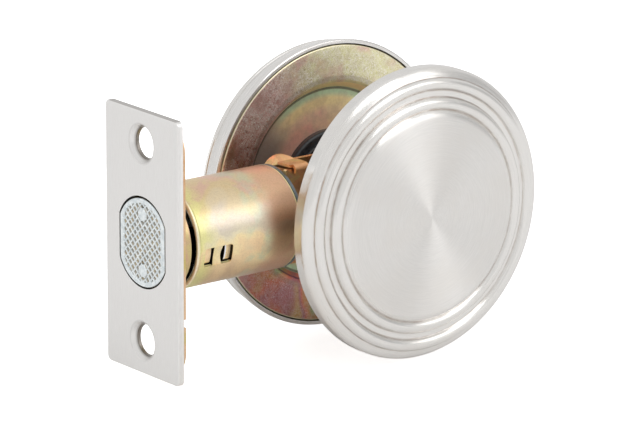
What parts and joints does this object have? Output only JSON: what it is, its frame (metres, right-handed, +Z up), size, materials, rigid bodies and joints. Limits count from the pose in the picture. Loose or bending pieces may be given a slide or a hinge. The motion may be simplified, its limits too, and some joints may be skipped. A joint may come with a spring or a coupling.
{
  "type": "deadbolt",
  "caption": "One-sided tubular deadbolt: rectangular faceplate, cross-hatched bolt in a chromated tube, thumbturn rose on the room side and a blank round cover on the street side.",
  "frame": {"origin": "on the bolt's centre line at the front face of the faceplate", "axes": "+X into the door, away from the thrown bolt; -Y the street side with the blank cover; +Y the room side with the thumbturn; +Z up"},
  "size_m": [0.0922, 0.0623, 0.0638],
  "materials": {
    "satin_nickel": "satin",
    "satin_faceplate": "brushed",
    "yellow_chromate": "satin, iridescent",
    "zinc": "satin",
    "steel": "satin",
    "black_plastic": "satin"
  },
  "bodies": {
    "lock_body": {"faceplate": "satin_faceplate", "backing_plate": "yellow_chromate", "neck_collar": "yellow_chromate", "bolt_tube": "yellow_chromate", "guide_cheeks": "steel", "tube_end_cap": "zinc", "carrier_plate_near": "yellow_chromate", "carrier_plate_far": "yellow_chromate", "spacer_rivets": "steel", "detent_spring": "steel", "mounting_plate": "yellow_chromate", "spindle_bushing": "black_plastic", "rose": "satin_nickel", "mounting_screws": "zinc", "cover_plate": "satin_nickel", "cover_mount_plate": "yellow_chromate", "cover_posts": "zinc"},
    "bolt_body": {"bolt": "zinc", "hardened_pin": "steel", "bolt_tail": "steel", "tail_rivet": "steel"},
    "spindle": {"crank_hub": "steel", "crank_pin": "steel", "tailpiece": "steel", "thumbturn": "satin_nickel", "retaining_ring": "steel", "spring_washer": "steel"}
  },
  "joints": [
    {"name": "thumbturn_turn", "type": "hinge", "parent": "lock_body", "child": "spindle", "pos_m": [0.0603, 0, 0], "axis": [0, -1, 0], "range_deg": [0, 90]},
    {"name": "bolt_throw", "type": "slide", "parent": "lock_body", "child": "bolt_body", "axis": [-1, 0, 0], "range_m": [0, 0.0254]}
  ],
  "couplings": [
    {"joint": "thumbturn_turn", "follows": "bolt_throw", "rad_per_m": 61.84}
  ]
}
